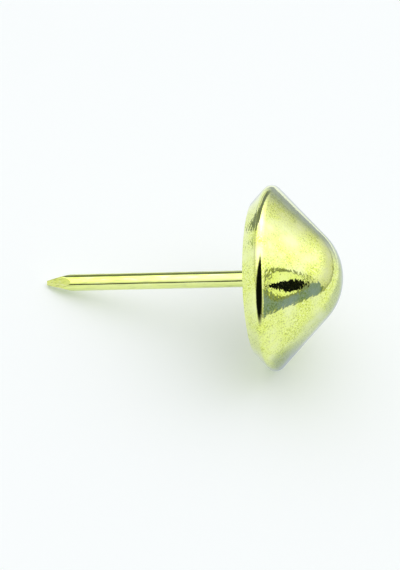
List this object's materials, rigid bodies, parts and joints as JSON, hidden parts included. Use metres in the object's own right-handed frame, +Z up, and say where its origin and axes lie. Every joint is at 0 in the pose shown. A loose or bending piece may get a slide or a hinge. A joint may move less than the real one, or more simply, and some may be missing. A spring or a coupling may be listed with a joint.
{
  "type": "upholstery nail",
  "caption": "Furniture nail with a hollow conical pressed head, a folded-in rim and a thin round pin with a faceted point, which fixes cloth, leather or trim to wood.",
  "frame": {"origin": "on the table, under the middle of the lying nail's box", "axes": "+X the way the nose points along the table, +Z up; the nail lies on the edge of its head and its point"},
  "size_m": [0.0168, 0.011, 0.0103],
  "materials": {
    "plated_cap": "bright brass plating on pressed sheet, fine grain",
    "plated_retainer": "thin brass plating, duller in the hollow",
    "plated_wire": "bright brass plating on drawn wire"
  },
  "bodies": {
    "root": {"head_cap": "plated_cap", "retainer_cup": "plated_retainer", "pin": "plated_wire"}
  },
  "joints": []
}
